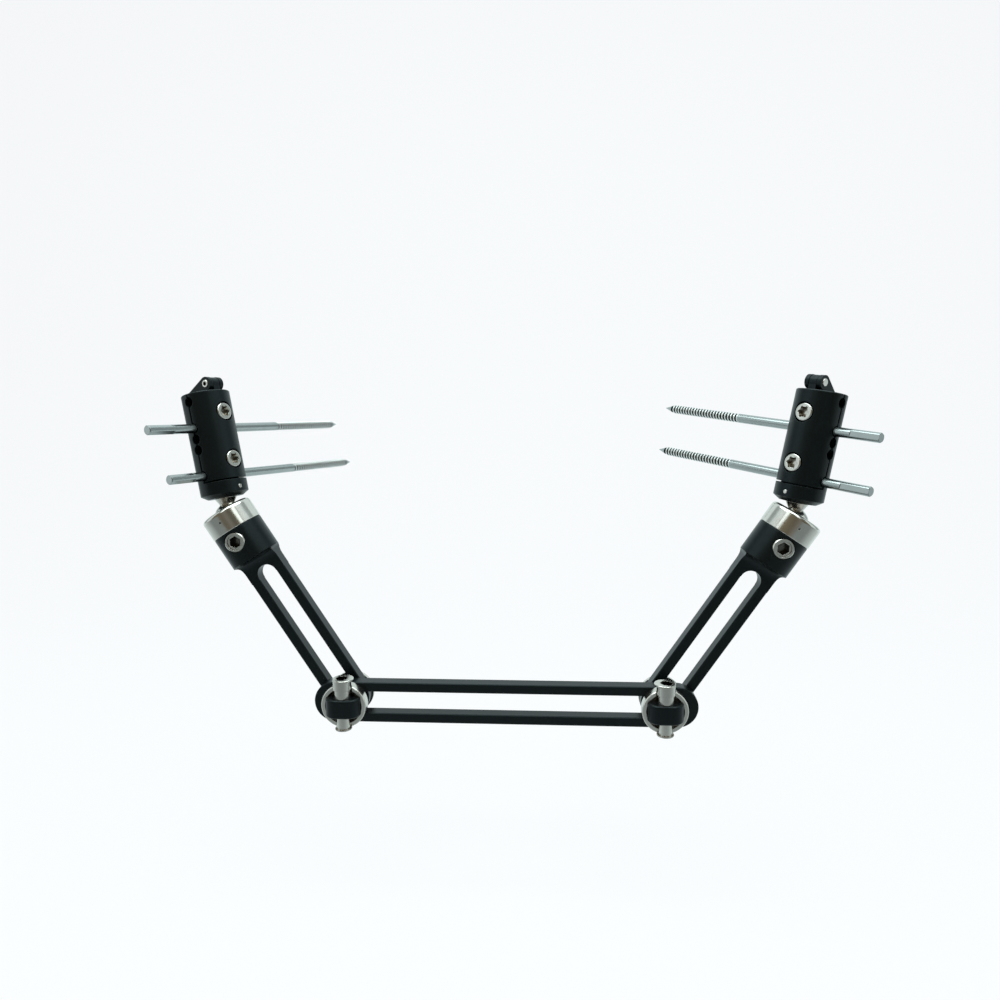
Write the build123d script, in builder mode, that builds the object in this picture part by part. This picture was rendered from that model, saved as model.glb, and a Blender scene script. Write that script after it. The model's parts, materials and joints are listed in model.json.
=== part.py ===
import math
import os
from build123d import *

os.makedirs("parts", exist_ok=True)

# Pelvic external fixator: a slotted centre bar, two slotted arms on cam-lock corners,
# and a ball-jointed clamp on each arm that grips two bone pins.
# Frame: +X to the right along the bar, +Y away from the front, +Z up. Origin at the bar's middle.

# Clearances
face_gap = 0.12
running_gap = 0.05
free_gap = 0.30
seat_gap = 0.02

# Centre bar
bar_length = 249.2
bar_width = 27.0
bar_slot = 14.5
bar_thick = 9.0
edge_break = 0.5

# Arms, measured up from the corner's axis
arm_width = 26.0
arm_slot = 13.2
arm_thick = 9.0
head_bottom = 112.3
head_height = 22.0
slot_margin = 7.5
head_radius = 16.4
head_forward = 3.0
ramp_radius = 7.4
shoulder_radius = 3.0
boss_radius = 13.2
boss_height = 5.0

# Cam-lock corner
cup_radius = 14.6
cup_height = 7.0
cup_floor = 1.6
cup_wall = 2.6
eye_width = 22.9
eye_front = 7.3
eye_round = 8.0
eye_top = 6.4
eye_bottom = -6.1
eye_edge = 1.4
rod_radius = 4.0
key_length = 18.0
cam_throw = 0.6
cam_radius = 4.2
cam_neck_radius = 5.15
cam_step = 12.2
cam_journal_radius = 5.9
cam_flange_radius = 6.8
cam_flange_thick = 1.2
cam_flange_shift = 0.7
cam_tail_radius = 4.2
cam_top = 19.4
cam_bottom = -15.5
cam_socket = 7.0
cam_socket_depth = 5.0
clip_radius = 5.4
clip_thick = 0.7
clip_rise = 0.7
back_disc_radius = 14.0
back_disc_thick = 3.5
block_reach = 12.4

# Ball joint
lock_radius = 6.7
lock_throw = 0.6
lock_waist = 0.9
lock_depth = 13.6
lock_socket = 7.0
lock_recess_radius = 5.0
lock_recess_depth = 0.9
lock_bevel = 0.6
ball_radius = 9.0
ball_rise = 9.2
seat_wall = 0.9
seat_floor = 1.7
seat_drop = 3.0
collar_radius = 16.7
collar_lip = 5.1
collar_round = 2.6
collar_dot_radius = 0.8
collar_dot_depth = 0.7
neck_play = 0.36
neck_flare_radius = 7.0
neck_flare_height = 3.8
tilt_limit = 24.0

# Pin clamp, measured up the stud from the ball's centre
clamp_radius = 15.0
base_clearance = 1.28
base_height = 10.5
base_taper = 2.6
split_gap = 1.2
cover_gap = 1.0
seat_inner = 7.0
screw_space = 8.5
seat_margin = 5.6
screw_head_radius = 5.6
screw_head_height = 5.0
screw_face = 14.5
screw_shank_radius = 3.5
screw_bite = 8.0
screw_play = 0.9
screw_hole_depth = 12.0
screw_socket_radius = 3.0
screw_lobe_radius = 0.8
counterbore_play = 0.7
hinge_forward = 7.8
hinge_lift = 5.0
hinge_pin_radius = 2.5
knuckle_radius = 4.2
knuckle_width = 5.0
ear_thick = 2.7
ear_radius = 4.4
ear_foot_long = 12.6
ear_foot_short = 5.6
ear_foot_front = 1.0
ear_lift = 0.6
dowel_radius = 1.4
dowel_drop = 5.0

# Bone pins
pin_radius = 3.0
pin_core_radius = 2.4
pin_thread = 60.5
pin_flat_length = 18.0
pin_flat_depth = 0.45
pin_point = 7.0

# Setting of each side: the corner's distance from the bar's end, how far the arm is slid up, how far
# each pin stands out of the clamp's middle, and the length of the pins' plain shanks
left_inset = 21.1
left_slide = 0.0
left_upper_out = 49.2
left_lower_out = 40.8
left_plain = 107.5
right_inset = 21.9
right_slide = -1.2
right_upper_out = 43.2
right_lower_out = 44.6
right_plain = 99.5

# Angles of each side: arm lean, ball twist, ball tilt and clamp swivel
left_angles = (-31.9, 15.5, 21.9, -126.8)
right_angles = (33.5, 176.0, 23.0, -48.2)

# Derived positions
bar_front = bar_thick / 2
arm_y = bar_thick / 2 + face_gap + arm_thick / 2
arm_back = arm_y + arm_thick / 2
head_y = arm_y - head_forward
head_top = head_bottom + head_height
slot_top = head_bottom - slot_margin
cup_rim = bar_front + cup_height
cup_pocket_radius = cup_radius - cup_wall
eye_back = bar_front + cup_floor + 0.2
cam_y = -cup_rim - 0.7
clip_low = cam_bottom + clip_rise
cam_clear_radius = cam_radius + cam_throw + free_gap
rod_end = arm_back + face_gap + back_disc_thick + 1.2
ball_height = head_top + ball_rise
collar_top = ball_height + collar_lip
seat_bore_radius = ball_radius + seat_wall
seat_foot = ball_height - ball_radius - free_gap - seat_floor
lock_height = seat_foot - free_gap - lock_radius + lock_waist
tilt_sine = math.sin(math.radians(tilt_limit))
tilt_cosine = math.cos(math.radians(tilt_limit))
lip_hole_radius = math.sqrt((ball_radius + free_gap) ** 2 - collar_lip**2)
neck_radius = (lip_hole_radius - neck_play) * tilt_cosine - collar_lip * tilt_sine
base_bottom = (collar_lip + base_clearance + (clamp_radius - base_taper) * tilt_sine) / tilt_cosine
base_top = base_bottom + base_height
dowel_height = base_top - dowel_drop
screw_offset = seat_inner + screw_space
seat_outer = screw_offset + screw_space
seat_offsets = (seat_outer, seat_inner, 0.0, -seat_inner, -seat_outer)
clamp_reach = seat_outer + seat_margin
clamp_middle = base_top + clamp_reach - 1.0
tube_top = clamp_middle + clamp_reach
hinge_height = tube_top + hinge_lift
counterbore_radius = screw_head_radius + counterbore_play


# Slotted centre bar with rounded ends
with BuildPart() as centre_bar:
    with BuildSketch(Plane.XZ):
        SlotOverall(bar_length, bar_width)
        SlotOverall(bar_length - bar_width + bar_slot, bar_slot, mode=Mode.SUBTRACT)
    extrude(amount=bar_thick / 2, both=True)
    chamfer(centre_bar.faces().filter_by(Axis.Y).edges(), edge_break)
centre_bar.part.label = "centre_bar"
export_step(centre_bar.part, "parts/centre_bar.step")


# Cup that sits on the bar, keyed into the slot, with a bearing notch for the cam at top and bottom
def make_cup():
    with BuildPart() as cup:
        with BuildSketch(Plane.XZ.offset(bar_front)):
            Circle(cup_radius)
        extrude(amount=cup_height)
        chamfer(cup.faces().sort_by(Axis.Y)[0].edges(), 0.6)
        with BuildSketch(Plane.XZ.offset(bar_front + cup_floor)):
            Circle(cup_pocket_radius)
        extrude(amount=cup_height, mode=Mode.SUBTRACT)
        with BuildSketch(Plane.XZ.offset(bar_front)):
            SlotOverall(key_length, bar_slot - 2 * free_gap)
        extrude(amount=-(bar_thick - 2 * face_gap))
        with BuildSketch(Plane.XZ.offset(cup_rim)):
            Circle(rod_radius + running_gap)
        extrude(amount=-2 * cup_rim, mode=Mode.SUBTRACT)
        for reach, low, high in (
            (cam_journal_radius, 0.0, cup_radius + 1),
            (cam_tail_radius, -cup_radius - 1, 0.0),
            (clip_radius, -cup_radius - 1, clip_low + clip_thick + free_gap),
        ):
            with BuildSketch(Plane.XY.offset(low)):
                with Locations((0, cam_y)):
                    Circle(reach + free_gap)
            extrude(amount=high - low, mode=Mode.SUBTRACT)
    return cup.part


# Draw rod: a bored eye that the cam pulls on, and a round rod through both slots
def make_draw_rod():
    with BuildPart() as rod:
        with BuildSketch(Plane.XY.offset(eye_bottom)) as plan:
            with Locations((0, -(eye_back + cup_rim + eye_front) / 2)):
                Rectangle(eye_width, cup_rim + eye_front - eye_back)
            fillet(plan.vertices().group_by(Axis.Y)[0], eye_round)
        extrude(amount=eye_top - eye_bottom)
        rims = rod.faces().filter_by(Axis.Z).edges()
        fillet(rims.filter_by(lambda rim: rim.center().Y < -eye_back - eye_edge / 2), eye_edge)
        with BuildSketch(Plane.XZ.offset(eye_back)):
            Circle(cup_radius + eye_width)
            Circle(cup_pocket_radius - free_gap, mode=Mode.SUBTRACT)
        extrude(amount=cup_rim + free_gap - eye_back, mode=Mode.SUBTRACT)
        with BuildSketch(Plane.XY.offset(eye_bottom)):
            with Locations((0, cam_y)):
                Circle(cam_clear_radius)
        extrude(amount=eye_top - eye_bottom, mode=Mode.SUBTRACT)
        with BuildSketch(Plane.XZ.offset(eye_back + 0.4)):
            Circle(rod_radius)
        extrude(amount=-(eye_back + 0.4 + rod_end))
        chamfer(rod.faces().sort_by(Axis.Y)[-1].edges(), 0.6)
    return rod.part


# Cam pin: off-centre flange with a hex socket, journal, neck, eccentric, and grooved tail
def make_corner_cam(inward):
    with BuildPart() as cam:
        with BuildSketch(Plane.XY.offset(cam_top - cam_flange_thick)):
            with Locations((inward * cam_flange_shift, cam_y)):
                Circle(cam_flange_radius)
        extrude(amount=cam_flange_thick)
        fillet(cam.edges().group_by(Axis.Z)[-1], cam_flange_thick / 2)
        for radius, throw, low, high in (
            (cam_journal_radius, 0.0, cam_step, cam_top - cam_flange_thick),
            (cam_neck_radius, 0.0, eye_top + face_gap, cam_step),
            (cam_radius, cam_throw, eye_bottom - face_gap, eye_top + face_gap),
            (cam_tail_radius, 0.0, cam_bottom, eye_bottom - face_gap),
        ):
            with BuildSketch(Plane.XY.offset(low)):
                with Locations((0, cam_y - throw)):
                    Circle(radius)
            extrude(amount=high - low)
        chamfer(cam.edges().group_by(Axis.Z)[0], 0.3)
        with BuildSketch(Plane.XY.offset(clip_low - seat_gap)):
            with Locations((0, cam_y)):
                Circle(cam_tail_radius + 1)
                Circle(cam_tail_radius - 0.8, mode=Mode.SUBTRACT)
        extrude(amount=clip_thick + 2 * seat_gap, mode=Mode.SUBTRACT)
        with BuildSketch(Plane.XY.offset(cam_top)):
            with Locations((0, cam_y)):
                RegularPolygon(cam_socket / 2, 6, major_radius=False)
        extrude(amount=-cam_socket_depth, mode=Mode.SUBTRACT)
    return cam.part


# Open retaining clip in the groove of the cam's tail
def make_cam_clip():
    with BuildPart() as clip:
        with BuildSketch(Plane.XY.offset(clip_low)):
            with Locations((0, cam_y)):
                Circle(clip_radius)
                Circle(cam_tail_radius - 0.8 + seat_gap, mode=Mode.SUBTRACT)
            with Locations((0, cam_y + clip_radius)):
                Rectangle(cam_tail_radius, 2 * clip_radius, mode=Mode.SUBTRACT)
        extrude(amount=clip_thick)
    return clip.part


# Round nut on the end of the draw rod, bearing on the arm's back
def make_back_disc():
    with BuildPart() as disc:
        with BuildSketch(Plane.XZ.offset(-(arm_back + face_gap))):
            Circle(back_disc_radius)
            Circle(rod_radius + seat_gap, mode=Mode.SUBTRACT)
        extrude(amount=-back_disc_thick)
        chamfer(disc.faces().sort_by(Axis.Y)[-1].outer_wire().edges(), 0.8)
    return disc.part


# Block that turns on the rod and slides in the arm's slot: round below, square above
def make_slide_block():
    half = arm_slot / 2 - 0.2
    with BuildPart() as block:
        with BuildSketch(Plane.XZ.offset(-arm_y)):
            Circle(half)
            with Locations((0, block_reach / 2)):
                Rectangle(2 * half, block_reach)
            Circle(rod_radius + running_gap, mode=Mode.SUBTRACT)
        extrude(amount=arm_thick / 2 - 0.1, both=True)
    return block.part


# Arm: slotted flat bar that swells through a milled ramp into a round, bored head
def make_arm():
    slot_rise = slot_top - arm_slot / 2
    head_plane = head_bottom - 2 * ramp_radius
    with BuildPart() as arm:
        with BuildSketch(Plane.XZ.offset(-arm_y)):
            Circle(arm_width / 2)
            with Locations((0, head_bottom / 2)):
                Rectangle(arm_width, head_bottom)
            Circle(arm_slot / 2, mode=Mode.SUBTRACT)
            with Locations((0, slot_rise)):
                Circle(arm_slot / 2, mode=Mode.SUBTRACT)
            with Locations((0, slot_rise / 2)):
                Rectangle(arm_slot, slot_rise, mode=Mode.SUBTRACT)
        extrude(amount=arm_thick / 2, both=True)
        chamfer(arm.faces().filter_by(Axis.Y).edges(), edge_break)
    with BuildPart() as head:
        with BuildSketch(Plane.XY.offset(head_plane)):
            with Locations((0, head_y)):
                Circle(head_radius)
        extrude(amount=head_top - head_plane)
        chamfer(head.edges().group_by(Axis.Z)[-1], edge_break)
        for side in (-1, 1):
            with BuildSketch(Plane.YZ) as cheek:
                with Locations((arm_y + side * (arm_thick / 2 + head_radius), head_bottom - head_radius)):
                    Rectangle(2 * head_radius, 2 * head_radius)
                inner = cheek.vertices().group_by(Axis.Y)[-1].sort_by(Axis.X)[0 if side > 0 else -1]
                fillet(inner, ramp_radius)
            extrude(amount=2 * head_radius, both=True, mode=Mode.SUBTRACT)
            with BuildSketch(Plane.XZ.offset(-arm_y)) as shoulder:
                with Locations((side * (arm_width / 2 + head_radius), head_bottom - head_radius)):
                    Rectangle(2 * head_radius, 2 * head_radius)
                inner = shoulder.vertices().group_by(Axis.Y)[-1].sort_by(Axis.X)[0 if side > 0 else -1]
                fillet(inner, shoulder_radius)
            extrude(amount=2 * head_radius, both=True, mode=Mode.SUBTRACT)
        with BuildSketch(Plane.XZ.offset(-arm_y)):
            with Locations((0, slot_rise)):
                Circle(arm_slot / 2)
            with Locations((0, slot_rise - head_radius)):
                Rectangle(arm_slot, 2 * head_radius)
        extrude(amount=2 * head_radius, both=True, mode=Mode.SUBTRACT)
        with BuildSketch(Plane.XY.offset(head_top)):
            with Locations((0, head_y)):
                Circle(boss_radius)
        extrude(amount=boss_height)
        with BuildSketch(Plane.XY.offset(lock_height)):
            with Locations((0, head_y)):
                Circle(seat_bore_radius)
        extrude(amount=head_top + boss_height - lock_height, mode=Mode.SUBTRACT)
        with BuildSketch(Plane.XZ.offset(-head_y - lock_depth - free_gap)):
            with Locations((0, lock_height)):
                Circle(lock_radius + running_gap)
        extrude(amount=3 * head_radius, mode=Mode.SUBTRACT)
    with BuildPart() as whole:
        add(arm.part)
        add(head.part)
    return whole.part


# Lock cam across the head: round ends, an eccentric middle under the ball seat, hex socket in front
def make_lock_cam():
    front = head_y - head_radius + 0.8
    with BuildPart() as lock:
        with BuildSketch(Plane.XZ.offset(-head_y - lock_depth)):
            with Locations((0, lock_height)):
                Circle(lock_radius)
        extrude(amount=head_y + lock_depth - front)
        chamfer(lock.faces().sort_by(Axis.Y)[0].edges(), lock_bevel)
        with BuildSketch(Plane.XZ.offset(-head_y)):
            with Locations((0, lock_height)):
                Circle(lock_radius + 1)
            with Locations((0, lock_height - lock_throw)):
                Circle(lock_radius - lock_waist, mode=Mode.SUBTRACT)
        extrude(amount=seat_bore_radius + free_gap, both=True, mode=Mode.SUBTRACT)
        with BuildSketch(Plane.XZ.offset(-front)):
            with Locations((0, lock_height)):
                Circle(lock_recess_radius)
        extrude(amount=-lock_recess_depth, mode=Mode.SUBTRACT)
        with BuildSketch(Plane.XZ.offset(-front)):
            with Locations((0, lock_height)):
                RegularPolygon(lock_socket / 2, 6, major_radius=False)
        extrude(amount=-6.0, mode=Mode.SUBTRACT)
    return lock.part


# Seat under the ball, free to turn in the head's bore
def make_ball_seat():
    with BuildPart() as seat:
        with BuildSketch(Plane.XY.offset(seat_foot)):
            with Locations((0, head_y)):
                Circle(seat_bore_radius - free_gap)
        extrude(amount=ball_height - seat_drop - seat_foot)
        with Locations((0, head_y, ball_height)):
            Sphere(ball_radius + free_gap, mode=Mode.SUBTRACT)
    return seat.part


# Collar that screws over the head's boss and holds the ball down
def make_collar():
    with BuildPart() as collar:
        with BuildSketch(Plane.XY.offset(head_top)):
            with Locations((0, head_y)):
                Circle(collar_radius)
        extrude(amount=collar_top - head_top)
        fillet(collar.edges().group_by(Axis.Z)[-1], collar_round)
        chamfer(collar.edges().group_by(Axis.Z)[0], 0.3)
        with BuildSketch(Plane.XY.offset(head_top)):
            with Locations((0, head_y)):
                Circle(boss_radius + seat_gap)
        extrude(amount=boss_height + face_gap, mode=Mode.SUBTRACT)
        with BuildSketch(Plane.XY.offset(head_top)):
            with Locations((0, head_y)):
                Circle(seat_bore_radius)
        extrude(amount=ball_height - head_top, mode=Mode.SUBTRACT)
        with Locations((0, head_y, ball_height)):
            Sphere(ball_radius + free_gap, mode=Mode.SUBTRACT)
        with BuildSketch(Plane.XZ.offset(collar_radius - head_y)):
            with Locations((0, (head_top + collar_top) / 2)):
                Circle(collar_dot_radius)
        extrude(amount=-collar_dot_depth, mode=Mode.SUBTRACT)
    return collar.part


# Ball stud: ball, flared neck and a grooved shank that turns in the clamp's base
def make_ball_stud():
    shank_top = base_top - 0.8
    with BuildPart() as stud:
        Sphere(ball_radius)
        with BuildSketch(Plane.XY):
            Circle(neck_radius)
        extrude(amount=shank_top)
        chamfer(stud.edges().group_by(Axis.Z)[-1], 0.5)
        with Locations((0, 0, base_bottom - free_gap - neck_flare_height / 2)):
            Cone(neck_radius, neck_flare_radius, neck_flare_height)
        with BuildSketch(Plane.XY.offset(dowel_height - dowel_radius - 0.3)):
            Circle(neck_radius + 1)
            Circle(neck_radius - 1.4, mode=Mode.SUBTRACT)
        extrude(amount=2 * dowel_radius + 0.6, mode=Mode.SUBTRACT)
    return stud.part


# Dowel through the base into the shank's groove
def make_stud_dowel():
    with BuildPart() as dowel:
        with BuildSketch(Plane.XZ.offset(-(neck_radius - 1.1))):
            with Locations((0, dowel_height)):
                Circle(dowel_radius)
        extrude(amount=-(clamp_radius - neck_radius + 1.1))
        fillet(dowel.faces().sort_by(Axis.Y)[-1].edges(), 0.5)
    return dowel.part


# Rear half of the clamp: base ring, half barrel with pin grooves, and two hinge ears
def make_clamp_body():
    ear_step = knuckle_width / 2 + free_gap
    with BuildPart() as body:
        with BuildSketch(Plane.XY.offset(base_bottom)):
            Circle(clamp_radius)
        extrude(amount=tube_top - base_bottom)
        chamfer(body.edges().group_by(Axis.Z)[0], base_taper, 1.5 * base_taper)
        chamfer(body.edges().group_by(Axis.Z)[-1], edge_break)
        with BuildSketch(Plane.XY.offset(base_top)):
            with Locations((0, clamp_radius - split_gap / 2)):
                Rectangle(3 * clamp_radius, 2 * clamp_radius)
        extrude(amount=tube_top, mode=Mode.SUBTRACT)
        with BuildSketch(Plane.YZ):
            for offset in seat_offsets:
                with Locations((0, clamp_middle + offset)):
                    Circle(pin_radius + seat_gap)
        extrude(amount=2 * clamp_radius, both=True, mode=Mode.SUBTRACT)
        with BuildSketch(Plane.XZ):
            for offset in (screw_offset, -screw_offset):
                with Locations((0, clamp_middle + offset)):
                    Circle(screw_shank_radius + screw_play)
        extrude(amount=screw_hole_depth, mode=Mode.SUBTRACT)
        with BuildSketch(Plane.XY.offset(base_bottom)):
            Circle(neck_radius + running_gap)
        extrude(amount=base_top - 0.4 - base_bottom, mode=Mode.SUBTRACT)
        with BuildSketch(Plane.XZ.offset(-neck_radius + dowel_radius)):
            with Locations((0, dowel_height)):
                Circle(dowel_radius + seat_gap)
        extrude(amount=-2 * clamp_radius, mode=Mode.SUBTRACT)
        for start, foot in ((ear_step, ear_foot_long), (-ear_step - ear_thick, ear_foot_short)):
            with BuildSketch(Plane.YZ.offset(start)):
                with Locations((hinge_forward, hinge_height)):
                    Circle(ear_radius)
                with Locations((-(foot + ear_foot_front) / 2, tube_top)):
                    Rectangle(foot - ear_foot_front, ear_lift)
                make_hull()
                with Locations((clamp_radius - split_gap / 2, tube_top + ear_lift - clamp_reach)):
                    Rectangle(2 * clamp_radius, 2 * clamp_reach, mode=Mode.SUBTRACT)
            extrude(amount=ear_thick)
        with BuildSketch(Plane.YZ):
            with Locations((hinge_forward, hinge_height)):
                Circle(hinge_pin_radius + seat_gap)
        extrude(amount=2 * clamp_radius, both=True, mode=Mode.SUBTRACT)
    return body.part


# Front half of the clamp, hung on the hinge pin by its knuckle
def make_clamp_cover():
    with BuildPart() as cover:
        with BuildSketch(Plane.XY.offset(base_top + cover_gap)):
            Circle(clamp_radius)
            with Locations((0, -clamp_radius + split_gap / 2)):
                Rectangle(3 * clamp_radius, 2 * clamp_radius, mode=Mode.SUBTRACT)
        extrude(amount=tube_top - base_top - cover_gap)
        chamfer(cover.edges().filter_by(GeomType.CIRCLE).group_by(Axis.Z)[-1], edge_break)
        with BuildSketch(Plane.YZ):
            for offset in seat_offsets:
                with Locations((0, clamp_middle + offset)):
                    Circle(pin_radius + 0.5)
        extrude(amount=2 * clamp_radius, both=True, mode=Mode.SUBTRACT)
        with BuildSketch(Plane.YZ.offset(-knuckle_width / 2)):
            with Locations((hinge_forward, hinge_height)):
                Circle(knuckle_radius)
            with Locations((hinge_forward, (hinge_height + tube_top) / 2 - 0.5)):
                Rectangle(2 * knuckle_radius - 0.8, hinge_height - tube_top + 1.0)
        extrude(amount=knuckle_width)
        with BuildSketch(Plane.YZ):
            with Locations((hinge_forward, hinge_height)):
                Circle(hinge_pin_radius + running_gap)
        extrude(amount=2 * clamp_radius, both=True, mode=Mode.SUBTRACT)
        for offset in (screw_offset, -screw_offset):
            with BuildSketch(Plane.XZ.offset(-(screw_face - screw_head_height))):
                with Locations((0, clamp_middle + offset)):
                    Circle(counterbore_radius)
            extrude(amount=-clamp_radius, mode=Mode.SUBTRACT)
            with BuildSketch(Plane.XZ):
                with Locations((0, clamp_middle + offset)):
                    Circle(screw_shank_radius + 0.2)
            extrude(amount=-clamp_radius, mode=Mode.SUBTRACT)
    return cover.part


# Hinge pin across the ears, with a hex socket in one end
def make_hinge_pin():
    half = knuckle_width / 2 + free_gap + ear_thick
    with BuildPart() as pin:
        with BuildSketch(Plane.YZ.offset(-half - 0.5)):
            with Locations((hinge_forward, hinge_height)):
                Circle(hinge_pin_radius)
        extrude(amount=2 * half + 1.0)
        chamfer(pin.edges().filter_by(GeomType.CIRCLE), 0.3)
        with BuildSketch(Plane.YZ.offset(half + 0.5)):
            with Locations((hinge_forward, hinge_height)):
                RegularPolygon(1.25, 6, major_radius=False)
        extrude(amount=-3.0, mode=Mode.SUBTRACT)
    return pin.part


# Cap screw with a six-lobed socket
def make_cover_screw(offset):
    height = clamp_middle + offset
    with BuildPart() as screw:
        with BuildSketch(Plane.XZ.offset(-(screw_face - screw_head_height))):
            with Locations((0, height)):
                Circle(screw_head_radius)
        extrude(amount=-screw_head_height)
        fillet(screw.faces().sort_by(Axis.Y)[-1].edges(), 0.9)
        with BuildSketch(Plane.XZ.offset(-(screw_face - screw_head_height))):
            with Locations((0, height)):
                Circle(screw_shank_radius)
        extrude(amount=screw_face - screw_head_height + screw_bite)
        chamfer(screw.faces().sort_by(Axis.Y)[0].edges(), 0.8)
        with BuildSketch(Plane.XZ.offset(-screw_face)):
            with Locations((0, height)):
                Circle(screw_socket_radius)
                with PolarLocations(screw_socket_radius, 6):
                    Circle(screw_lobe_radius)
        extrude(amount=3.6, mode=Mode.SUBTRACT)
    return screw.part


# Bone pin: three-flat drive end, plain shank, threaded length and point.
# Lies along X with its drive end towards +X or -X.
def make_bone_pin(offset, outer, plain, toward):
    flat_side = pin_radius - pin_flat_depth
    with BuildPart() as pin:
        with BuildSketch(Plane.YZ.offset(outer - plain)):
            Circle(pin_radius)
        extrude(amount=plain)
        chamfer(pin.edges().group_by(Axis.X)[-1], 0.4)
        with BuildSketch(Plane.YZ.offset(outer - pin_flat_length)):
            Circle(pin_radius + 1)
            RegularPolygon(flat_side, 3, major_radius=False, mode=Mode.SUBTRACT)
        extrude(amount=pin_flat_length, mode=Mode.SUBTRACT)
        with BuildSketch(Plane.YZ.offset(outer - plain)):
            Circle(pin_core_radius)
        extrude(amount=-pin_thread)
        tip = pin.faces().sort_by(Axis.X)[0]
        with BuildSketch(Plane(tip.center(), x_dir=(0, 1, 0), z_dir=(-1, 0, 0))):
            Circle(pin_core_radius)
        extrude(amount=pin_point, taper=18)
    turn = Rot(0, 0, 0) if toward > 0 else Rot(0, 0, 180)
    return pin.part.moved(Pos(0, 0, clamp_middle + offset) * turn)


# Sets one piece in its place and writes it
def place_piece(piece, place, name):
    placed = piece.moved(place)
    placed.label = name
    export_step(placed, f"parts/{name}.step")


# Both sides: the corner, the arm with its ball joint, and the clamp with its pins
for side, outward, inset, slide, angles, upper_out, lower_out, plain in (
    ("left", 1, left_inset, left_slide, left_angles, left_upper_out, left_lower_out, left_plain),
    ("right", -1, right_inset, right_slide, right_angles, right_upper_out, right_lower_out, right_plain),
):
    lean, twist, tilt, swivel = angles
    corner_place = Pos(outward * (inset - bar_length / 2), 0, 0)
    block_place = corner_place * Rot(0, lean, 0)
    arm_place = block_place * Pos(0, 0, slide)
    ball_place = arm_place * Pos(0, head_y, ball_height)
    clamp_place = ball_place * Rot(0, 0, twist) * Rot(0, tilt, 0) * Rot(0, 0, swivel)

    place_piece(make_cup(), corner_place, f"{side}_cam_cup")
    place_piece(make_draw_rod(), corner_place, f"{side}_draw_rod")
    place_piece(make_corner_cam(outward), corner_place, f"{side}_corner_cam")
    place_piece(make_cam_clip(), corner_place, f"{side}_cam_clip")
    place_piece(make_back_disc(), corner_place, f"{side}_back_disc")
    place_piece(make_slide_block(), block_place, f"{side}_slide_block")

    place_piece(make_arm(), arm_place, f"{side}_arm")
    place_piece(make_lock_cam(), arm_place, f"{side}_lock_cam")
    place_piece(make_ball_seat(), arm_place, f"{side}_ball_seat")
    place_piece(make_collar(), arm_place, f"{side}_ball_collar")

    place_piece(make_ball_stud(), clamp_place, f"{side}_ball_stud")
    place_piece(make_stud_dowel(), clamp_place, f"{side}_stud_dowel")
    place_piece(make_clamp_body(), clamp_place, f"{side}_clamp_body")
    place_piece(make_clamp_cover(), clamp_place, f"{side}_clamp_cover")
    place_piece(make_hinge_pin(), clamp_place, f"{side}_hinge_pin")
    place_piece(make_cover_screw(screw_offset), clamp_place, f"{side}_upper_screw")
    place_piece(make_cover_screw(-screw_offset), clamp_place, f"{side}_lower_screw")
    upper_pin = make_bone_pin(seat_inner, upper_out, plain, outward)
    lower_pin = make_bone_pin(-seat_outer, lower_out, plain, outward)
    place_piece(upper_pin, clamp_place, f"{side}_upper_pin")
    place_piece(lower_pin, clamp_place, f"{side}_lower_pin")
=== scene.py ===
import json
import math
import bpy
from mathutils import Matrix, Vector


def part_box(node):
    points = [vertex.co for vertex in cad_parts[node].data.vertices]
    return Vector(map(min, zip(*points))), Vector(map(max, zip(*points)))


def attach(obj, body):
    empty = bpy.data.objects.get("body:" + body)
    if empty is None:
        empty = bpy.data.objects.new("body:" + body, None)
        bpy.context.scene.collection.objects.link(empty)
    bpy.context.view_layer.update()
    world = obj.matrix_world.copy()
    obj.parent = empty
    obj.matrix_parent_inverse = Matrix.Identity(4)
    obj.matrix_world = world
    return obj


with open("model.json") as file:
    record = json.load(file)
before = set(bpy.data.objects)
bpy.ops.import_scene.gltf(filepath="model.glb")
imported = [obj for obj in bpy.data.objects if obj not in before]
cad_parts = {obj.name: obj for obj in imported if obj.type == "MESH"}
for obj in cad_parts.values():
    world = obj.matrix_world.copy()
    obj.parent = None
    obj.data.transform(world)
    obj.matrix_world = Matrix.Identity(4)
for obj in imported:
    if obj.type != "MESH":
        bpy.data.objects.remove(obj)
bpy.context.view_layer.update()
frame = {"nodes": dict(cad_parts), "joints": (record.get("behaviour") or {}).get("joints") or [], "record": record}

# Centre bar: one flat aluminium bar with rounded ends and a long milled slot.
# It is blasted, then anodised satin black, and every other black piece has that finish.
bar_black = (0.0024, 0.0036, 0.0040)
bar_black_worn = (0.0044, 0.0062, 0.0068)
bar_sheen = (0.80, 0.97, 1.0)
dye_cloud_scale = 60.0
blast_grain_scale = 5200.0
blast_depth = 0.00004


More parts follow.
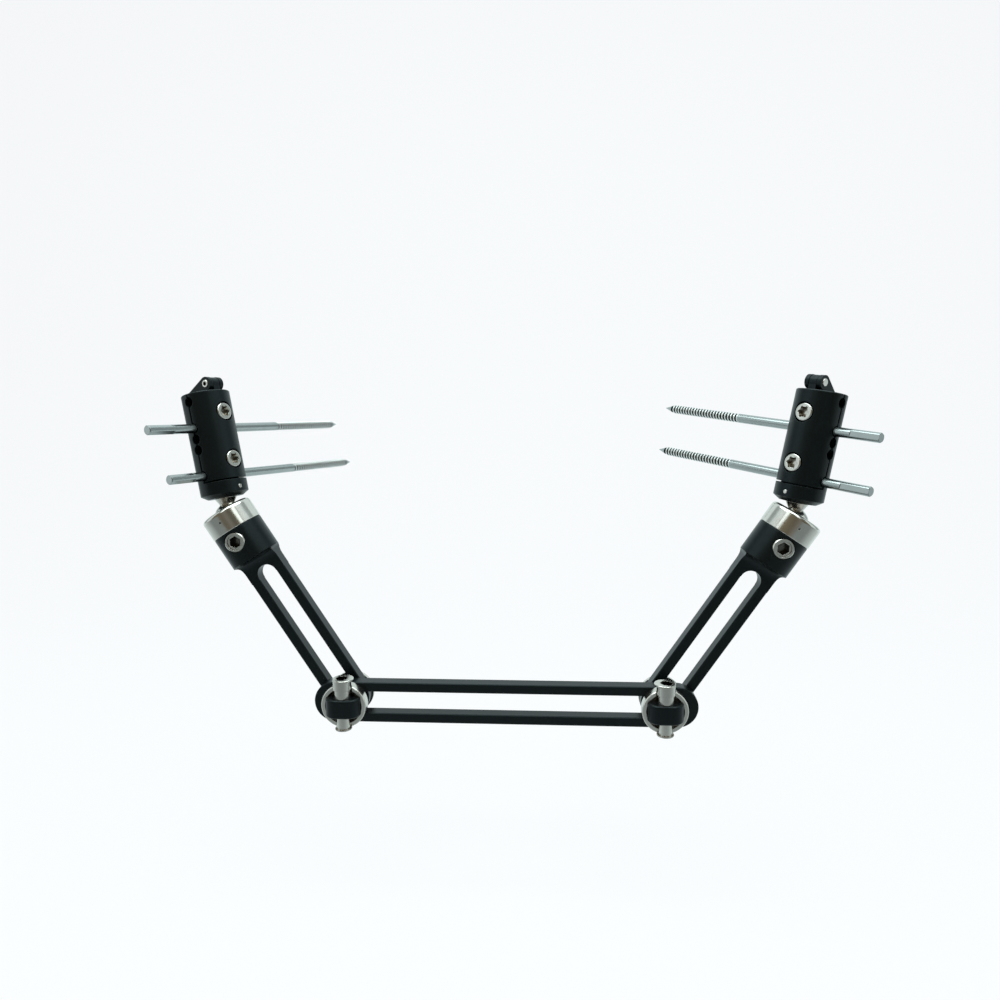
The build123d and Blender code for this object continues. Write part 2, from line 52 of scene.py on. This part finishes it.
def satin_black(name, edge_round=0.00045, gloss=0.34):
    finish = bpy.data.materials.new(name)
    finish.use_nodes = True
    nodes = finish.node_tree.nodes
    links = finish.node_tree.links
    shader = nodes["Principled BSDF"]
    shader.inputs["Specular IOR Level"].default_value = 0.24
    shader.inputs["Specular Tint"].default_value = (*bar_sheen, 1.0)
    place = nodes.new("ShaderNodeTexCoord")

    cloud = nodes.new("ShaderNodeTexNoise")
    cloud.inputs["Scale"].default_value = dye_cloud_scale
    cloud.inputs["Detail"].default_value = 6.0
    links.new(place.outputs["Object"], cloud.inputs["Vector"])
    dye = nodes.new("ShaderNodeMix")
    dye.data_type = "RGBA"
    dye.inputs["A"].default_value = (*bar_black, 1.0)
    dye.inputs["B"].default_value = (*bar_black_worn, 1.0)
    links.new(cloud.outputs["Fac"], dye.inputs["Factor"])
    links.new(dye.outputs["Result"], shader.inputs["Base Color"])

    sheen = nodes.new("ShaderNodeMapRange")
    sheen.inputs["To Min"].default_value = gloss - 0.05
    sheen.inputs["To Max"].default_value = gloss + 0.06
    links.new(cloud.outputs["Fac"], sheen.inputs["Value"])
    links.new(sheen.outputs["Result"], shader.inputs["Roughness"])

    blast = nodes.new("ShaderNodeTexNoise")
    blast.inputs["Scale"].default_value = blast_grain_scale
    blast.inputs["Detail"].default_value = 2.0
    links.new(place.outputs["Object"], blast.inputs["Vector"])
    soft_edge = nodes.new("ShaderNodeBevel")
    soft_edge.samples = 4
    soft_edge.inputs["Radius"].default_value = edge_round
    relief = nodes.new("ShaderNodeBump")
    relief.inputs["Strength"].default_value = 0.10
    relief.inputs["Distance"].default_value = blast_depth
    links.new(blast.outputs["Fac"], relief.inputs["Height"])
    links.new(soft_edge.outputs["Normal"], relief.inputs["Normal"])
    links.new(relief.outputs["Normal"], shader.inputs["Normal"])
    return finish


def dress(node, finish):
    piece = frame["nodes"][node]
    piece.data.materials.clear()
    piece.data.materials.append(finish)


bar_finish = satin_black("bar_satin_black")
dress("centre_bar", bar_finish)

# Cam cups: stainless steel cups turned in a lathe, with two bearing notches milled in the rim.
# Each sits on the bar's front face, keyed into the slot, and slides along it.
both_sides = ("left", "right")
steel_light = (0.69, 0.665, 0.62)
steel_deep = (0.56, 0.535, 0.49)
# Painted shade: the steel's colour in sockets, bores and other hollows is darkened towards this.
hollow_shade_dark = (0.035, 0.030, 0.023)
steel_haze_scale = 140.0
steel_line_share = 0.45
steel_line_depth = 0.00001
steel_edge_round = 0.00025
# Painted shade: below the first share of open surroundings a hollow takes the full shade colour, and above the
# second it keeps the steel's colour.
hollow_closed = 0.25
hollow_open = 0.72


def joint_named(name):
    return next(joint for joint in frame["joints"] if joint["name"] == name)


def lathe_place(nodes, links, centre, axis):
    place = nodes.new("ShaderNodeTexCoord")
    chuck = nodes.new("ShaderNodeMapping")
    chuck.vector_type = "TEXTURE"
    chuck.inputs["Location"].default_value = centre
    chuck.inputs["Rotation"].default_value = Vector((0, 0, 1)).rotation_difference(Vector(axis)).to_euler()
    links.new(place.outputs["Object"], chuck.inputs["Vector"])
    split = nodes.new("ShaderNodeSeparateXYZ")
    links.new(chuck.outputs["Vector"], split.inputs["Vector"])
    flat = nodes.new("ShaderNodeCombineXYZ")
    links.new(split.outputs["X"], flat.inputs["X"])
    links.new(split.outputs["Y"], flat.inputs["Y"])
    radius = nodes.new("ShaderNodeVectorMath")
    radius.operation = "LENGTH"
    links.new(flat.outputs["Vector"], radius.inputs[0])
    return chuck.outputs["Vector"], radius.outputs["Value"], split.outputs["Z"]


# Painted shade in hollows: the Ambient Occlusion node darkens the colour in sockets, bores and recesses.
def open_by_hollow(nodes, links, reach):
    hollow = nodes.new("ShaderNodeAmbientOcclusion")
    hollow.samples = 8
    hollow.only_local = True
    hollow.inputs["Distance"].default_value = reach
    openness = nodes.new("ShaderNodeMapRange")
    openness.inputs["From Min"].default_value = hollow_closed
    openness.inputs["From Max"].default_value = hollow_open
    links.new(hollow.outputs["AO"], openness.inputs["Value"])
    return openness.outputs["Result"]


# Painted shade in a thread: the colour darkens towards the groove's root, by the distance from the axis.
def open_by_height(nodes, links, radius, along, groove):
    root, crest, half_length = groove
    from_middle = nodes.new("ShaderNodeMath")
    from_middle.operation = "ABSOLUTE"
    links.new(along, from_middle.inputs[0])
    beyond = nodes.new("ShaderNodeMath")
    beyond.operation = "GREATER_THAN"
    beyond.inputs[1].default_value = half_length
    links.new(from_middle.outputs["Value"], beyond.inputs[0])
    # Past the thread's ends the height is lifted over the crest, so the plain shank gets no painted shade.
    height = nodes.new("ShaderNodeMath")
    height.operation = "MULTIPLY_ADD"
    height.inputs[1].default_value = crest
    links.new(beyond.outputs["Value"], height.inputs[0])
    links.new(radius, height.inputs[2])
    openness = nodes.new("ShaderNodeMapRange")
    openness.inputs["From Min"].default_value = root
    openness.inputs["From Max"].default_value = crest
    links.new(height.outputs["Value"], openness.inputs["Value"])
    return openness.outputs["Result"]


def turned_steel(
    name, centre, axis, gloss=0.22, line_scale=9000.0,
    light=steel_light, deep=steel_deep, shade_colour=hollow_shade_dark, hollow_reach=0.004, groove=None,
):
    finish = bpy.data.materials.new(name)
    finish.use_nodes = True
    nodes = finish.node_tree.nodes
    links = finish.node_tree.links
    shader = nodes["Principled BSDF"]
    shader.inputs["Metallic"].default_value = 1.0
    place, radius, along = lathe_place(nodes, links, centre, axis)

    track = nodes.new("ShaderNodeCombineXYZ")
    links.new(radius, track.inputs["X"])
    links.new(along, track.inputs["Y"])
    lines = nodes.new("ShaderNodeTexNoise")
    lines.inputs["Scale"].default_value = line_scale
    lines.inputs["Detail"].default_value = 3.0
    links.new(track.outputs["Vector"], lines.inputs["Vector"])
    haze = nodes.new("ShaderNodeTexNoise")
    haze.inputs["Scale"].default_value = steel_haze_scale
    haze.inputs["Detail"].default_value = 5.0
    links.new(place, haze.inputs["Vector"])
    tone = nodes.new("ShaderNodeMath")
    tone.operation = "MULTIPLY_ADD"
    tone.inputs[1].default_value = steel_line_share
    links.new(lines.outputs["Fac"], tone.inputs[0])
    links.new(haze.outputs["Fac"], tone.inputs[2])
    metal = nodes.new("ShaderNodeMix")
    metal.data_type = "RGBA"
    metal.inputs["A"].default_value = (*deep, 1.0)
    metal.inputs["B"].default_value = (*light, 1.0)
    links.new(tone.outputs["Value"], metal.inputs["Factor"])

    if groove is None:
        openness = open_by_hollow(nodes, links, hollow_reach)
    else:
        openness = open_by_height(nodes, links, radius, along, groove)
    # Painted shade: the steel's colour is mixed towards the shade colour in hollows and at a thread's root.
    painted_shade = nodes.new("ShaderNodeMix")
    painted_shade.data_type = "RGBA"
    painted_shade.inputs["A"].default_value = (*shade_colour, 1.0)
    links.new(openness, painted_shade.inputs["Factor"])
    links.new(metal.outputs["Result"], painted_shade.inputs["B"])
    links.new(painted_shade.outputs["Result"], shader.inputs["Base Color"])

    sheen = nodes.new("ShaderNodeMapRange")
    sheen.inputs["To Min"].default_value = gloss - 0.04
    sheen.inputs["To Max"].default_value = gloss + 0.05
    links.new(lines.outputs["Fac"], sheen.inputs["Value"])
    links.new(sheen.outputs["Result"], shader.inputs["Roughness"])

    soft_edge = nodes.new("ShaderNodeBevel")
    soft_edge.samples = 4
    soft_edge.inputs["Radius"].default_value = steel_edge_round
    relief = nodes.new("ShaderNodeBump")
    relief.inputs["Strength"].default_value = 0.02
    relief.inputs["Distance"].default_value = steel_line_depth
    links.new(lines.outputs["Fac"], relief.inputs["Height"])
    links.new(soft_edge.outputs["Normal"], relief.inputs["Normal"])
    links.new(relief.outputs["Normal"], shader.inputs["Normal"])
    return finish


for side in both_sides:
    rod = joint_named(f"{side}_arm_swing")
    cup_steel = turned_steel(f"{side}_cup_steel", rod["pos_m"], rod["axis"], gloss=0.25, hollow_reach=0.0006)
    dress(f"{side}_cam_cup", cup_steel)

# Draw rods: a black eye round the cam, with a round rod that runs back through both slots.
# The eye is machined from bar and anodised like the bar itself, a little smoother.
eye_finish = satin_black("eye_satin_black", edge_round=0.0007, gloss=0.32)
for side in both_sides:
    dress(f"{side}_draw_rod", eye_finish)

# Corner cams and their clips: upright turned steel pins with a flanged, socketed head.
# Half a turn of the eccentric pulls the eye forward and locks the corner.
for side in both_sides:
    cam = joint_named(f"{side}_cam_turn")
    cam_steel = turned_steel(f"{side}_cam_steel", cam["pos_m"], cam["axis"], gloss=0.22, hollow_reach=0.008)
    dress(f"{side}_corner_cam", cam_steel)
    dress(f"{side}_cam_clip", cam_steel)

# Back discs: round steel nuts on the rods' ends, faced in a lathe.
# They bear on the back of the arms and take the pull of the cams.
for side in both_sides:
    rod = joint_named(f"{side}_arm_swing")
    disc_steel = turned_steel(f"{side}_disc_steel", rod["pos_m"], rod["axis"], gloss=0.22)
    dress(f"{side}_back_disc", disc_steel)

# Slide blocks: black anodised blocks that turn on the rods and run in the arms' slots.
# They are square above and round below, as the slots' lower ends are.
block_finish = satin_black("block_satin_black", edge_round=0.0003)
for side in both_sides:
    dress(f"{side}_slide_block", block_finish)

# Arms: slotted flat bars that swell through a milled ramp into a round bored head.
# Each is one piece of aluminium, blasted and anodised satin black.
arm_finish = satin_black("arm_satin_black", edge_round=0.0006, gloss=0.29)
for side in both_sides:
    dress(f"{side}_arm", arm_finish)

# Lock cams: steel cross cams in the heads, with a hex socket in the front end.
# A quarter turn lifts the seat and locks the ball.
for side in both_sides:
    lock = joint_named(f"{side}_lock_turn")
    lock_steel = turned_steel(
        f"{side}_lock_steel", lock["pos_m"], lock["axis"], gloss=0.20, hollow_reach=0.008,
    )
    dress(f"{side}_lock_cam", lock_steel)

# Ball seats and collars: turned steel rings on the arm's axis, round the ball.
# The collar screws over the head's boss, and its top edge is well rounded.
for side in both_sides:
    twist = joint_named(f"{side}_ball_twist")
    collar_steel = turned_steel(f"{side}_collar_steel", twist["pos_m"], twist["axis"], gloss=0.17)
    dress(f"{side}_ball_seat", collar_steel)
    dress(f"{side}_ball_collar", collar_steel)

# Ball studs and dowels: a steel ball on a neck, whose shank turns in the clamp's base.
# A small dowel through the base runs in the shank's groove.
for side in both_sides:
    stud = joint_named(f"{side}_clamp_swivel")
    stud_steel = turned_steel(
        f"{side}_stud_steel", stud["pos_m"], stud["axis"], gloss=0.20, hollow_reach=0.0008,
    )
    dress(f"{side}_ball_stud", stud_steel)
    dress(f"{side}_stud_dowel", stud_steel)

# Clamp bodies and covers: two half barrels with pin grooves on the split line.
# The cover hangs on a hinge pin at the top, and both are anodised satin black.
clamp_finish = satin_black("clamp_satin_black", edge_round=0.0005, gloss=0.34)
for side in both_sides:
    dress(f"{side}_clamp_body", clamp_finish)
    dress(f"{side}_clamp_cover", clamp_finish)

# Hinge pins and cover screws: bright steel pins and cap screws with six-lobed sockets.
# The screws draw the cover on to the bone pins.
# Painted shade in the screws' sockets: a brown-tinted dark.
screw_shade_brown = (0.15, 0.115, 0.06)
for side in both_sides:
    hinge = joint_named(f"{side}_cover_open")
    hinge_steel = turned_steel(f"{side}_hinge_steel", hinge["pos_m"], hinge["axis"], gloss=0.22)
    dress(f"{side}_hinge_pin", hinge_steel)
    stud_axis = Vector(joint_named(f"{side}_clamp_swivel")["axis"])
    screw_axis = stud_axis.cross(Vector(hinge["axis"]))
    for screw in ("upper", "lower"):
        low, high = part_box(f"{side}_{screw}_screw")
        middle = (Vector(low) + Vector(high)) / 2
        screw_steel = turned_steel(
            f"{side}_{screw}_screw_steel", middle, screw_axis, gloss=0.18, shade_colour=screw_shade_brown,
        )
        dress(f"{side}_{screw}_screw", screw_steel)

# Bone pins: ground stainless pins with a three-flat drive end and a threaded inner end.
# The clamp grips their plain shank. The thread's ridge is one helix that stands on the core,
# with a painted highlight in a lighter copy of the pin's steel and painted shade at its root.
pin_light = (0.40, 0.43, 0.425)
pin_deep = (0.33, 0.355, 0.35)
# Painted highlight: the thread's ridge gets a much lighter copy of the pin's steel.
ridge_highlight_pale = (0.86, 0.88, 0.86)
ridge_highlight_deep = (0.78, 0.80, 0.78)
# Painted shade at the thread's root.
root_shade_dark = (0.012, 0.012, 0.011)
pin_line_scale = 4200.0
thread_pitch = 0.0025
thread_crest = 0.00298
thread_steps = 28
crest_half_share = 0.15
root_half_share = 0.32
ridge_sink = 0.00005
# The painted shade ramp ends this far below the crest.
crest_shade_margin = 0.0001


def cut_thread(name, mount):
    out = Vector(mount["axis"]).normalized()
    side_way = out.orthogonal().normalized()
    up_way = out.cross(side_way)
    core = mount["dims"]["r_mm"] / 1000
    length = mount["dims"]["length_mm"] / 1000
    start = Vector(mount["pos_m"]) - out * (length / 2)
    half_root = thread_pitch * root_half_share
    half_crest = thread_pitch * crest_half_share
    points = []
    faces = []
    total = int(((length - half_root) / thread_pitch + 0.5) * thread_steps)
    for step in range(total + 1):
        angle = 2 * math.pi * step / thread_steps
        # The first half turn starts inside the shank, and the last one sinks into the core.
        along = thread_pitch * (step / thread_steps - 0.5)
        run_out = min(1.0, 2 * (total - step) / thread_steps)
        crest = core + (thread_crest - core) * run_out
        spoke = side_way * math.cos(angle) + up_way * math.sin(angle)
        for reach, shift in (
            (core - ridge_sink, -half_root),
            (crest, -half_crest),
            (crest, half_crest),
            (core - ridge_sink, half_root),
        ):
            points.append(start + out * (along + shift) + spoke * reach)
        if step:
            before = 4 * (step - 1)
            here = 4 * step
            for corner in range(4):
                after = (corner + 1) % 4
                faces.append((before + corner, here + corner, here + after, before + after))
    faces.append((0, 1, 2, 3))
    last = 4 * total
    faces.append((last + 3, last + 2, last + 1, last))
    ridge = bpy.data.meshes.new(name)
    ridge.from_pydata([tuple(point) for point in points], [], faces)
    ridge.update()
    thread = bpy.data.objects.new(name, ridge)
    bpy.context.scene.collection.objects.link(thread)
    return thread


pin_mounts = {mount["name"]: mount for mount in frame["record"]["mounts"]}
for side in both_sides:
    for pin in ("upper", "lower"):
        mount = pin_mounts[f"{side}_{pin}_pin_thread"]
        thread_core = mount["dims"]["r_mm"] / 1000
        thread_half_length = mount["dims"]["length_mm"] / 2000
        thread_groove = (thread_core, thread_crest - crest_shade_margin, thread_half_length)
        # Painted shade on the pin's core between the ridge's turns.
        pin_steel = turned_steel(
            f"{side}_{pin}_pin_steel", mount["pos_m"], mount["axis"], gloss=0.20,
            line_scale=pin_line_scale, light=pin_light, deep=pin_deep, shade_colour=root_shade_dark,
            groove=thread_groove,
        )
        dress(f"{side}_{pin}_pin", pin_steel)
        # Painted highlight on the thread's ridge, with painted shade at its root.
        highlit_ridge_steel = turned_steel(
            f"{side}_{pin}_highlit_ridge_steel", mount["pos_m"], mount["axis"], gloss=0.24,
            line_scale=pin_line_scale, light=ridge_highlight_pale, deep=ridge_highlight_deep, shade_colour=root_shade_dark,
            groove=thread_groove,
        )
        thread = cut_thread(f"{side}_{pin}_pin_thread_ridge", mount)
        thread.data.materials.append(highlit_ridge_steel)
        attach(thread, f"{side}_clamp")

# Floor and backdrop: one sheet of white paper that rises behind the object in a wide curve.
# It is a stage, lit a little from itself so that it stays pale all over, and the steel
# mirrors it darker towards the front.
paper_floor = -0.11
paper_front = -2.2
paper_back = 1.1
paper_top = 2.6
paper_half_width = 1.35
paper_curve = 0.6
paper_curve_steps = 12
paper_white = (0.86, 0.87, 0.88)
paper_seen_white = (0.97, 0.985, 1.0)
paper_mirrored_white = (0.85, 0.99, 1.0)
paper_dim_from = -0.30
paper_dim_to = 0.35
paper_dim_level = 0.31
paper_own_light = 0.90


def paper_profile():
    line = [(paper_front, paper_floor)]
    for step in range(paper_curve_steps + 1):
        angle = math.pi / 2 * step / paper_curve_steps
        line.append((
            paper_back - paper_curve + paper_curve * math.sin(angle),
            paper_floor + paper_curve * (1 - math.cos(angle)),
        ))
    line.append((paper_back, paper_top))
    return line


def white_paper():
    finish = bpy.data.materials.new("white_paper")
    finish.use_nodes = True
    nodes = finish.node_tree.nodes
    links = finish.node_tree.links
    shader = nodes["Principled BSDF"]
    shader.inputs["Base Color"].default_value = (*paper_white, 1.0)
    shader.inputs["Roughness"].default_value = 0.9
    ray = nodes.new("ShaderNodeLightPath")

    tint = nodes.new("ShaderNodeMix")
    tint.data_type = "RGBA"
    tint.inputs["A"].default_value = (*paper_seen_white, 1.0)
    tint.inputs["B"].default_value = (*paper_mirrored_white, 1.0)
    links.new(ray.outputs["Is Glossy Ray"], tint.inputs["Factor"])
    place = nodes.new("ShaderNodeNewGeometry")
    split = nodes.new("ShaderNodeSeparateXYZ")
    links.new(place.outputs["Position"], split.inputs["Vector"])
    mirrored = nodes.new("ShaderNodeMapRange")
    mirrored.inputs["From Min"].default_value = paper_dim_from
    mirrored.inputs["From Max"].default_value = paper_dim_to
    mirrored.inputs["To Min"].default_value = paper_dim_level
    mirrored.inputs["To Max"].default_value = 1.0
    links.new(split.outputs["Y"], mirrored.inputs["Value"])
    level = nodes.new("ShaderNodeMix")
    level.inputs["A"].default_value = 1.0
    links.new(ray.outputs["Is Glossy Ray"], level.inputs["Factor"])
    links.new(mirrored.outputs["Result"], level.inputs["B"])
    glow = nodes.new("ShaderNodeEmission")
    links.new(tint.outputs["Result"], glow.inputs["Color"])
    links.new(level.outputs["Result"], glow.inputs["Strength"])

    own_light = nodes.new("ShaderNodeMath")
    own_light.operation = "MULTIPLY"
    own_light.inputs[1].default_value = paper_own_light
    links.new(ray.outputs["Is Camera Ray"], own_light.inputs[0])
    glow_share = nodes.new("ShaderNodeMath")
    glow_share.operation = "MAXIMUM"
    links.new(own_light.outputs["Value"], glow_share.inputs[0])
    links.new(ray.outputs["Is Glossy Ray"], glow_share.inputs[1])
    blend = nodes.new("ShaderNodeMixShader")
    links.new(glow_share.outputs["Value"], blend.inputs["Fac"])
    links.new(shader.outputs["BSDF"], blend.inputs[1])
    links.new(glow.outputs["Emission"], blend.inputs[2])
    links.new(blend.outputs["Shader"], nodes["Material Output"].inputs["Surface"])
    return finish


profile = paper_profile()
paper_points = [(x, y, z) for y, z in profile for x in (-paper_half_width, paper_half_width)]
paper_faces = [(2 * k, 2 * k + 1, 2 * k + 3, 2 * k + 2) for k in range(len(profile) - 1)]
paper_mesh = bpy.data.meshes.new("paper_sweep")
paper_mesh.from_pydata(paper_points, [], paper_faces)
for face in paper_mesh.polygons:
    face.use_smooth = True
paper = bpy.data.objects.new("paper_sweep", paper_mesh)
bpy.context.scene.collection.objects.link(paper)
paper.data.materials.append(white_paper())

# Light: a broad soft box above, a small one at each side, white walls and a dim brown room in front.
# The room gives the steel its brown and dark bands between the white of the walls and the paper.
# Its colours go round from the back, by the left, the front and the right, to the back again.
room_strength = 0.95
room_white = (1.0, 1.0, 1.0)
back_white = (0.82, 0.95, 0.97)
back_pale = (0.71, 0.83, 0.85)
corner_grey = (0.37, 0.435, 0.43)
corner_pale = (0.44, 0.525, 0.53)
wall_far = (0.84, 0.97, 0.99)
wall_near = (0.90, 0.99, 0.99)
front_dark = (0.085, 0.078, 0.062)
front_brown = (0.21, 0.18, 0.115)
front_dim = (0.16, 0.145, 0.105)
front_pale = (0.24, 0.23, 0.20)
front_deep = (0.115, 0.11, 0.088)
room_stops = (
    (-180, back_white),
    (-140, back_pale),
    (-118, corner_grey),
    (-104, corner_pale),
    (-92, wall_far),
    (-64, wall_near),
    (-56, front_dark),
    (-40, front_brown),
    (-8, front_dim),
    (8, front_pale),
    (24, front_deep),
    (46, front_brown),
    (58, front_dark),
    (66, wall_near),
    (92, wall_far),
    (104, corner_pale),
    (118, corner_grey),
    (140, back_pale),
    (180, back_white),
)
lamp_white = (0.86, 0.99, 1.0)


def studio_room():
    room = bpy.data.worlds.new("studio_room")
    room.use_nodes = True
    nodes = room.node_tree.nodes
    links = room.node_tree.links
    light = nodes["Background"]
    light.inputs["Strength"].default_value = room_strength
    way = nodes.new("ShaderNodeTexCoord")
    split = nodes.new("ShaderNodeSeparateXYZ")
    links.new(way.outputs["Generated"], split.inputs["Vector"])
    front = nodes.new("ShaderNodeMath")
    front.operation = "MULTIPLY"
    front.inputs[1].default_value = -1.0
    links.new(split.outputs["Y"], front.inputs[0])
    turn = nodes.new("ShaderNodeMath")
    turn.operation = "ARCTAN2"
    links.new(split.outputs["X"], turn.inputs[0])
    links.new(front.outputs["Value"], turn.inputs[1])
    round_share = nodes.new("ShaderNodeMapRange")
    round_share.inputs["From Min"].default_value = -math.pi
    round_share.inputs["From Max"].default_value = math.pi
    links.new(turn.outputs["Value"], round_share.inputs["Value"])

    walls = nodes.new("ShaderNodeValToRGB")
    walls.color_ramp.elements[0].color = (*room_stops[0][1], 1.0)
    walls.color_ramp.elements[1].color = (*room_stops[-1][1], 1.0)
    for degrees, colour in room_stops[1:-1]:
        stop = walls.color_ramp.elements.new((degrees + 180) / 360)
        stop.color = (*colour, 1.0)
    links.new(round_share.outputs["Result"], walls.inputs["Fac"])
    ray = nodes.new("ShaderNodeLightPath")
    seen = nodes.new("ShaderNodeMix")
    seen.data_type = "RGBA"
    seen.inputs["B"].default_value = (*room_white, 1.0)
    links.new(ray.outputs["Is Camera Ray"], seen.inputs["Factor"])
    links.new(walls.outputs["Color"], seen.inputs["A"])
    links.new(seen.outputs["Result"], light.inputs["Color"])
    return room


def soft_box(name, place, aim, size, power):
    lamp = bpy.data.lights.new(name, "AREA")
    lamp.shape = "RECTANGLE"
    lamp.size = size[0]
    lamp.size_y = size[1]
    lamp.energy = power
    lamp.color = lamp_white
    box = bpy.data.objects.new(name, lamp)
    box.location = place
    box.rotation_euler = (Vector(aim) - Vector(place)).to_track_quat("-Z", "Y").to_euler()
    bpy.context.scene.collection.objects.link(box)


bpy.context.scene.world = studio_room()
soft_box("top_soft_box", place=(0.0, -0.10, 1.05), aim=(0.0, 0.02, 0.06), size=(1.5, 0.9), power=14.0)
soft_box("right_soft_box", place=(0.37, -0.49, 0.62), aim=(-0.20, 0.0, 0.13), size=(0.24, 0.24), power=0.34)
soft_box("left_soft_box", place=(-0.37, -0.49, 0.62), aim=(0.20, 0.0, 0.13), size=(0.24, 0.24), power=0.34)

# Camera: at the photograph's place, in front of the object and a little above it.
# It looks slightly down and to the left, with a short lens.
camera_place = Vector((0.0321, -0.4724, 0.1994))
camera_pitch = math.radians(7.95)
camera_yaw = math.radians(-4.02)
camera_roll = math.radians(-0.60)
focal_pixels = 760.0
picture_pixels = 1000.0
sensor_width = 36.0
near_clip = 0.01

ahead = Vector((
    math.sin(camera_yaw) * math.cos(camera_pitch),
    math.cos(camera_yaw) * math.cos(camera_pitch),
    -math.sin(camera_pitch),
))
level = Vector((math.cos(camera_yaw), -math.sin(camera_yaw), 0.0))
upright = level.cross(ahead)
across = level * math.cos(camera_roll) + upright * math.sin(camera_roll)
upward = upright * math.cos(camera_roll) - level * math.sin(camera_roll)
lens = bpy.data.cameras.new("photo_camera")
lens.sensor_fit = "HORIZONTAL"
lens.sensor_width = sensor_width
lens.lens = focal_pixels * sensor_width / picture_pixels
lens.clip_start = near_clip
camera = bpy.data.objects.new("photo_camera", lens)
camera.matrix_world = Matrix((
    (across.x, upward.x, -ahead.x, camera_place.x),
    (across.y, upward.y, -ahead.y, camera_place.y),
    (across.z, upward.z, -ahead.z, camera_place.z),
    (0.0, 0.0, 0.0, 1.0),
))
bpy.context.scene.collection.objects.link(camera)
bpy.context.scene.camera = camera
bpy.context.scene.view_settings.view_transform = "Standard"
